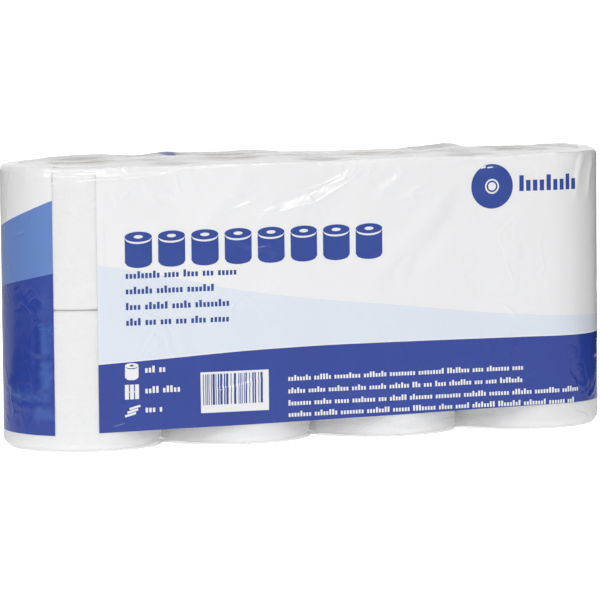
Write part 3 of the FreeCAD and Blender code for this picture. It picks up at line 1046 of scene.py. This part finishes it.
class PACK_OT_print(bpy.types.Operator):
    """Lay the small printed marks on the film"""

    bl_idname = "roll_pack.print"
    bl_label = "Printed Marks"

    def execute(self, context):
        film = bpy.data.objects.get("printed_film")
        if film is None:
            raise RuntimeError("Make the film before its printed marks")
        settings = context.scene.roll_pack_film
        tree = film_tree(film)
        draw = random.Random(23)
        dark, white, stripes = Sheet(), Sheet(), Sheet(0.2)
        for number in range(8):
            dark.roll_sign(front(-138.6 + 23.8 * number), 124.5, 149.5, 19.4)
        for end, height in ((-66, 117.4), (-81, 106.9), (-73, 96.2), (-73, 85.6)):
            dark.words(front(-148), front(end), height, 5.6, draw)
        dark.ring(front(119.5), 171.5, 15.5, 5.2)
        dark.ring(front(119.5), 171.5, 4.0, 2.9)
        for number in range(9):
            tall = 11.0 if number in (0, 4, 7) else 7.6
            dark.bar(front(141.5) + 5.1 * number, 167.5 + tall / 2, 3.3, tall)
        self.signs(white, draw)
        ends = ((front(143), 43.0), (front(143), 34.4), (right_end(27), 26.0), (right_end(23), 18.2))
        for end, height in ends:
            white.words(front(-32), end, height, 4.3, draw)
        for number in range(16):
            white.bar(right_end(58), 23.5 + number * 2.4, 2.4, 1.6)
        white.bar(front(-70.7), 37.7, 49.0, 27.8)
        place = front(-93.5)
        while place < front(-49.5):
            wide = draw.choice((0.55, 0.55, 1.0, 1.6))
            stripes.bar(place + wide / 2, 39.6, wide, 21.0)
            place += wide + draw.choice((0.6, 0.6, 1.1, 1.7))
        blue_ink = ink_material("dark_blue_ink", tuple(settings.mark_blue))
        dark.lay_on(tree, "dark_blue_marks", blue_ink)
        stripes.lay_on(tree, "stripe_marks", blue_ink)
        white.lay_on(tree, "white_marks", ink_material("white_ink", tuple(settings.white)))
        return {"FINISHED"}

    def signs(self, sheet, draw):
        """Three small white signs and a line of blocks by each."""
        s = front(-144.5)
        sheet.roll_sign(s, 48.6, 60.4, 9.6)
        sheet.bar(s, 40.6, 9.0, 0.7)
        for number in range(3):
            sheet.bar(s - 3.6 + number * 3.6, 40.6, 2.8, 10.0)
        for number in range(3):
            sheet.bar(s - 1.2 + number * 1.6, 25.2 + number * 2.4, 8.0, 1.5, 0.25)
        sheet.words(front(-135), front(-119), 53.2, 5.2, draw)
        sheet.words(front(-135), front(-107), 39.2, 5.2, draw)
        sheet.words(front(-135), front(-122), 26.2, 5.2, draw)


# The seal stands off the top, and its crimps are this far apart.
SEAL_GAP = 0.45
CRIMP = 2 * math.pi / 1.9


class PACK_OT_seals(bpy.types.Operator):
    """Make the crimped lengthwise seals on the top and the underside"""

    bl_idname = "roll_pack.seals"
    bl_label = "Seals"

    def execute(self, context):
        settings = context.scene.roll_pack_film
        surface = FilmSurface(settings)
        material = clear_film_material("sealed_polyethylene_film", settings.folded_haze)
        width = settings.seal_width / MM
        for name, at_top in (("top_seal", True), ("foot_seal", False)):
            bm = bmesh.new()
            bmesh.ops.create_grid(bm, x_segments=240, y_segments=12, size=0.5)
            for vert in bm.verts:
                x = vert.co.x * (STRAIGHT + 40)
                across = vert.co.y * width
                wave = 1.2 * noise.noise(Vector((x / 55, 2.0, at_top)))
                place = Vector((x, across + wave, 0))
                if at_top:
                    rest = FILM_TOP + surface.end_relief(place) + SEAL_GAP
                    crimp = 0.16 * math.sin(across * CRIMP)
                    curl = 0.9 * max(across / width, 0) ** 2 * (1 + noise.noise(Vector((x / 24, 0, 9))))
                    place.z = rest + crimp + curl
                else:
                    place.z = 0.12 + 0.05 * math.sin(across * CRIMP)
                vert.co = place
            bmesh.ops.solidify(bm, geom=bm.faces[:], thickness=0.08)
            bmesh.ops.recalc_face_normals(bm, faces=bm.faces)
            seal = finish_piece(bm, name, (material,))
            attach(seal, "root")
        return {"FINISHED"}


# Wall of a card tube, its cut edges' slant, its room in the roll, and the roll's soft top edge.
CARD_WALL = 1.2
CARD_EDGE = 0.2
TUBE_ROOM = 0.3
CROWN = 2.2


def unroll_uv(bm, middle):
    """Give each face a map in millimetres: distance round the axis, and height or distance out."""
    layer = bm.loops.layers.uv.new("unrolled")
    for face in bm.faces:
        centre = face.calc_center_median() - middle
        base = math.atan2(centre.y, centre.x)
        flat = abs(face.normal.z) > 0.7
        for loop in face.loops:
            offset = loop.vert.co - middle
            turn = math.atan2(offset.y, offset.x) - base
            turn = (turn + math.pi) % (2 * math.pi) - math.pi + base
            radius = math.hypot(offset.x, offset.y)
            if flat:
                loop[layer].uv = (turn * ROLL_RADIUS, radius)
            else:
                loop[layer].uv = (turn * radius, offset.z)
        face.material_index = 1 if flat else 0


def stacked_nodes(kind):
    """Every roll or tube of the frame: its name's ending, its box and its axis on the ground."""
    for layer in LAYERS:
        for column in COLUMNS:
            low, high = box_of(f"{kind}_{layer}_{column}")
            yield f"{layer}_{column}", low, high, Vector(((low.x + high.x) / 2, 0, 0))


def spin_profile(bm, outline, middle, steps):
    """Turn a closed outline of radius and height once round an upright axis."""
    verts = [bm.verts.new((middle.x + radius, middle.y, height)) for radius, height in outline]
    edges = [bm.edges.new((verts[n - 1], verts[n])) for n in range(len(verts))]
    bmesh.ops.spin(
        bm, geom=verts + edges, cent=middle, axis=(0, 0, 1), angle=2 * math.pi, steps=steps, use_merge=True,
        use_duplicate=False
    )
    bmesh.ops.recalc_face_normals(bm, faces=bm.faces)


def roll_outline(low, high, bore, radius, foot, crown):
    """Outline of a wound roll: its bore, both cut ends and its wall, with soft edges."""
    end_points = 30
    wall_points = 14
    outline = []
    for number in range(end_points + 1):
        outline.append((bore + (radius - foot - bore) * number / end_points, low))
    for turn in (22, 45, 68, 90):
        angle = math.radians(turn)
        reach = radius - foot + foot * math.sin(angle)
        outline.append((reach, low + foot * (1 - math.cos(angle))))
    for number in range(1, wall_points):
        outline.append((radius, low + foot + (high - low - foot - crown) * number / wall_points))
    for turn in (90, 60, 30):
        angle = math.radians(turn)
        reach = radius - crown + crown * math.sin(angle)
        outline.append((reach, high - crown * (1 - math.cos(angle))))
    for number in range(end_points, -1, -1):
        outline.append((bore + (radius - crown - bore) * number / end_points, high))
    return outline


class PACK_OT_rolls(bpy.types.Operator):
    """Make the eight wound rolls of embossed tissue"""

    bl_idname = "roll_pack.rolls"
    bl_label = "Rolls"

    def execute(self, context):
        settings = context.scene.roll_pack_paper
        materials = (tissue_wall_material(settings), tissue_end_material(settings))
        draw = random.Random(7)
        bore = CORE_RADIUS + TUBE_ROOM
        for place, low, high, middle in stacked_nodes("roll"):
            bm = bmesh.new()
            foot = 7.0 if place.startswith("lower") else CROWN
            outline = roll_outline(low.z, high.z, bore, ROLL_RADIUS - 0.1, foot, CROWN)
            spin_profile(bm, outline, middle, 112)
            self.loosen(bm, low, high, middle, draw)
            unroll_uv(bm, middle)
            roll = finish_piece(bm, f"tissue_roll_{place}", materials)
            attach(roll, "root")
            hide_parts(f"roll_{place}")
        return {"FINISHED"}

    def loosen(self, bm, low, high, middle, draw):
        """Make the cut ends uneven and the wall less round, with the sheet's end as a low step."""
        seed = draw.uniform(0, 100)
        tail = draw.uniform(0.9, 2.2)
        for vert in bm.verts:
            offset = vert.co - middle
            radius = math.hypot(offset.x, offset.y)
            turn = math.atan2(offset.y, offset.x)
            share = (radius - CORE_RADIUS) / (ROLL_RADIUS - CORE_RADIUS)
            if min(abs(offset.z - low.z), abs(offset.z - high.z)) < 0.01:
                wave = noise.noise(Vector((radius / 3.2, turn * 0.7, seed)))
                inward = 0.22 * (0.6 + wave) * min(share * 4, 1.0)
                vert.co.z += inward if offset.z < (low.z + high.z) / 2 else -inward
            elif share > 0.9:
                step = ((turn - tail) % (2 * math.pi)) / (2 * math.pi)
                wave = noise.noise(Vector((turn * 2.0, offset.z / 30, seed)))
                inward = 0.14 * step + 0.05 * (1 + wave)
                vert.co -= Vector((offset.x, offset.y, 0)) / radius * inward
        bm.normal_update()


class PACK_OT_cores(bpy.types.Operator):
    """Make the eight card tubes inside the rolls"""

    bl_idname = "roll_pack.cores"
    bl_label = "Card Tubes"

    def execute(self, context):
        material = card_material(context.scene.roll_pack_paper)
        for place, low, high, middle in stacked_nodes("core"):
            outer = (high.x - low.x) / 2
            inner = outer - CARD_WALL
            tall = high.z - low.z - 2 * CARD_EDGE
            heights = [low.z + CARD_EDGE + tall * n / 12 for n in range(13)]
            outline = [(inner + CARD_EDGE, low.z), (outer - CARD_EDGE, low.z)]
            outline += [(outer, height) for height in heights]
            outline += [(outer - CARD_EDGE, high.z), (inner + CARD_EDGE, high.z)]
            outline += [(inner, height) for height in reversed(heights)]
            bm = bmesh.new()
            spin_profile(bm, outline, middle, 72)
            unroll_uv(bm, middle)
            for face in bm.faces:
                face.material_index = 0
            core = finish_piece(bm, f"card_tube_{place}", (material,))
            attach(core, "root")
            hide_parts(f"core_{place}")
        return {"FINISHED"}


class PACK_OT_stage(bpy.types.Operator):
    """Set up the pale floor, the soft studio light and the camera"""

    bl_idname = "roll_pack.stage"
    bl_label = "Stage"

    def execute(self, context):
        settings = context.scene.roll_pack_stage
        self.floor(settings)
        self.flags()
        self.world(settings)
        self.lamps(settings)
        self.camera(settings)
        context.scene.view_settings.view_transform = "Standard"
        return {"FINISHED"}

    def floor(self, settings):
        """A wide, faintly glowing white table that the camera sees as nearly white."""
        material, tree = new_material("lit_white_table")
        paint = add_node(tree, "BsdfDiffuse", {"Color": (0.92, 0.92, 0.92, 1)})
        rays = add_node(tree, "LightPath")
        # The glow lights the paint and the camera, but is kept out of the film's gloss.
        plain = add_node(
            tree, "MapRange", {"To Min": settings.table_glow, "To Max": 0.0},
            {"Value": rays.outputs["Is Glossy Ray"]}
        )
        glow = add_node(
            tree, "Math", {"operation": "MULTIPLY_ADD", 1: 0.60},
            {0: rays.outputs["Is Camera Ray"], 2: plain}
        )
        lit = add_node(tree, "Emission", {}, {"Strength": glow})
        mixed = add_node(tree, "AddShader", {}, {0: paint, 1: lit})
        add_node(tree, "OutputMaterial", {}, {"Surface": mixed})
        bm = bmesh.new()
        bmesh.ops.create_grid(bm, x_segments=2, y_segments=2, size=40)
        floor = finish_piece(bm, "studio_floor", (material,), scale=1.0)

    def flags(self):
        """Dark cards out of shot, standing on the right and lying at both sides, which dim the ends."""
        material, tree = new_material("black_card")
        card = add_node(tree, "BsdfDiffuse", {"Color": (0.01, 0.01, 0.01, 1)})
        add_node(tree, "OutputMaterial", {}, {"Surface": card})
        upright = Matrix.Rotation(math.pi / 2, 3, "X")
        # Name, half its width, how it is turned, and its middle.
        plans = (
            ("standing_flag", 0.6, Matrix.Rotation(math.radians(-75), 3, "Z") @ upright, (0.95, 0.15, 0.45)),
            ("right_flag", 0.41, Matrix.Rotation(math.radians(-20), 3, "Z"), (0.90, 0.18, 0.002)),
            ("left_flag", 0.4, Matrix.Rotation(math.radians(-20), 3, "Z"), (-0.85, 0.10, 0.002)),
        )
        for name, size, turned, place in plans:
            bm = bmesh.new()
            bmesh.ops.create_grid(bm, x_segments=1, y_segments=1, size=size)
            bmesh.ops.transform(bm, matrix=turned.to_4x4(), verts=bm.verts)
            bmesh.ops.translate(bm, vec=place, verts=bm.verts)
            flag = finish_piece(bm, name, (material,), scale=1.0)
            flag.visible_camera = False

    def world(self, settings):
        """Even light from all round, seen as white by the camera and in reflections."""
        world = bpy.data.worlds.new("white_studio")
        bpy.context.scene.world = world
        world.use_nodes = True
        tree = world.node_tree
        tree.nodes.clear()
        rays = add_node(tree, "LightPath")
        seen = add_node(
            tree, "Math", {"operation": "MAXIMUM"},
            {0: rays.outputs["Is Camera Ray"], 1: rays.outputs["Is Transmission Ray"]}
        )
        # The gloss sees a brighter room than the paint does, as the film's top needs.
        room = add_node(
            tree, "MapRange", {"To Min": settings.daylight, "To Max": 1.0},
            {"Value": rays.outputs["Is Glossy Ray"]}
        )
        light = add_node(tree, "Background", {"Color": (1, 1, 1, 1)}, {"Strength": room})
        white = add_node(tree, "Background", {"Color": (1, 1, 1, 1), "Strength": 1.0})
        mixed = add_node(tree, "MixShader", {}, {0: seen, 1: light, 2: white})
        add_node(tree, "OutputWorld", {}, {"Surface": mixed})

    def lamps(self, settings):
        """Soft lamps round the camera and overhead, one seen in the gloss only and one never."""
        # Name, place, width and height, and power.
        plans = (
            ("front_lamp", (-0.3, -2.1, 1.35), (1.5, 0.42), settings.key_light * 0.6),
            ("gloss_lamp", (-0.35, -2.15, 1.4), (2.4, 0.9), settings.key_light * 2.1),
            ("low_lamp", (-0.6, -2.4, 0.14), (1.6, 0.3), settings.key_light * 0.68),
            ("left_lamp", (-1.8, -0.9, 1.1), (1.0, 0.8), settings.key_light * 0.84),
            ("top_lamp", (0.1, -0.3, 1.9), (2.4, 1.2), settings.key_light * 1.35),
        )
        target = Vector((0, 0, 0.1))
        for name, place, size, power in plans:
            light = bpy.data.lights.new(name, "AREA")
            light.shape = "RECTANGLE"
            light.size, light.size_y = size
            light.energy = power
            lamp = bpy.data.objects.new(name, light)
            lamp.visible_diffuse = name != "gloss_lamp"
            lamp.visible_glossy = name != "low_lamp"
            lamp.location = place
            lamp.rotation_euler = (target - Vector(place)).to_track_quat("-Z", "Y").to_euler()
            bpy.context.collection.objects.link(lamp)

    def camera(self, settings):
        """The photograph's view: from the front left, a little above the pack."""
        target = Vector((-3.11, 0, 93.09)) * MM
        rise = Matrix.Rotation(-settings.elevation, 3, "X")
        back = Matrix.Rotation(settings.azimuth, 3, "Z") @ rise @ Vector((0, -1, 0))
        lens = bpy.data.cameras.new("photo_camera")
        lens.lens = settings.lens
        lens.sensor_width = 36
        lens.clip_end = 100
        camera = bpy.data.objects.new("photo_camera", lens)
        camera.location = target + back * settings.distance
        aim = (-back).to_track_quat("-Z", "Y").to_matrix()
        camera.rotation_euler = (aim @ Matrix.Rotation(settings.roll, 3, "Z")).to_euler()
        bpy.context.collection.objects.link(camera)
        bpy.context.scene.camera = camera


class PACK_PT_panel(bpy.types.Panel):
    """Lists the pack's settings and pieces in the sidebar"""

    bl_idname = "PACK_PT_panel"
    bl_label = "Roll Pack"
    bl_space_type = "VIEW_3D"
    bl_region_type = "UI"
    bl_category = "Roll Pack"

    def draw(self, context):
        layout = self.layout
        for group in GROUPS:
            settings = getattr(context.scene, group)
            box = layout.box()
            for name in settings.__annotations__:
                box.prop(settings, name)
        for operator in STEPS:
            layout.operator(operator.bl_idname)


GROUPS = {
    "roll_pack_film": FilmSettings,
    "roll_pack_paper": PaperSettings,
    "roll_pack_stage": StageSettings,
}
STEPS = (PACK_OT_rolls, PACK_OT_cores, PACK_OT_film, PACK_OT_seals, PACK_OT_print, PACK_OT_stage)


def register():
    for name, group in GROUPS.items():
        bpy.utils.register_class(group)
        setattr(bpy.types.Scene, name, PointerProperty(type=group))
    for item in (*STEPS, PACK_PT_panel):
        bpy.utils.register_class(item)


def unregister():
    for item in reversed((*STEPS, PACK_PT_panel)):
        bpy.utils.unregister_class(item)
    for name, group in reversed(GROUPS.items()):
        delattr(bpy.types.Scene, name)
        bpy.utils.unregister_class(group)


def main():
    """Build every piece and the stage."""
    register()
    bpy.ops.roll_pack.rolls()
    bpy.ops.roll_pack.cores()
    bpy.ops.roll_pack.film()
    bpy.ops.roll_pack.seals()
    bpy.ops.roll_pack.print()
    bpy.ops.roll_pack.stage()


if __name__ == "__main__":
    main()
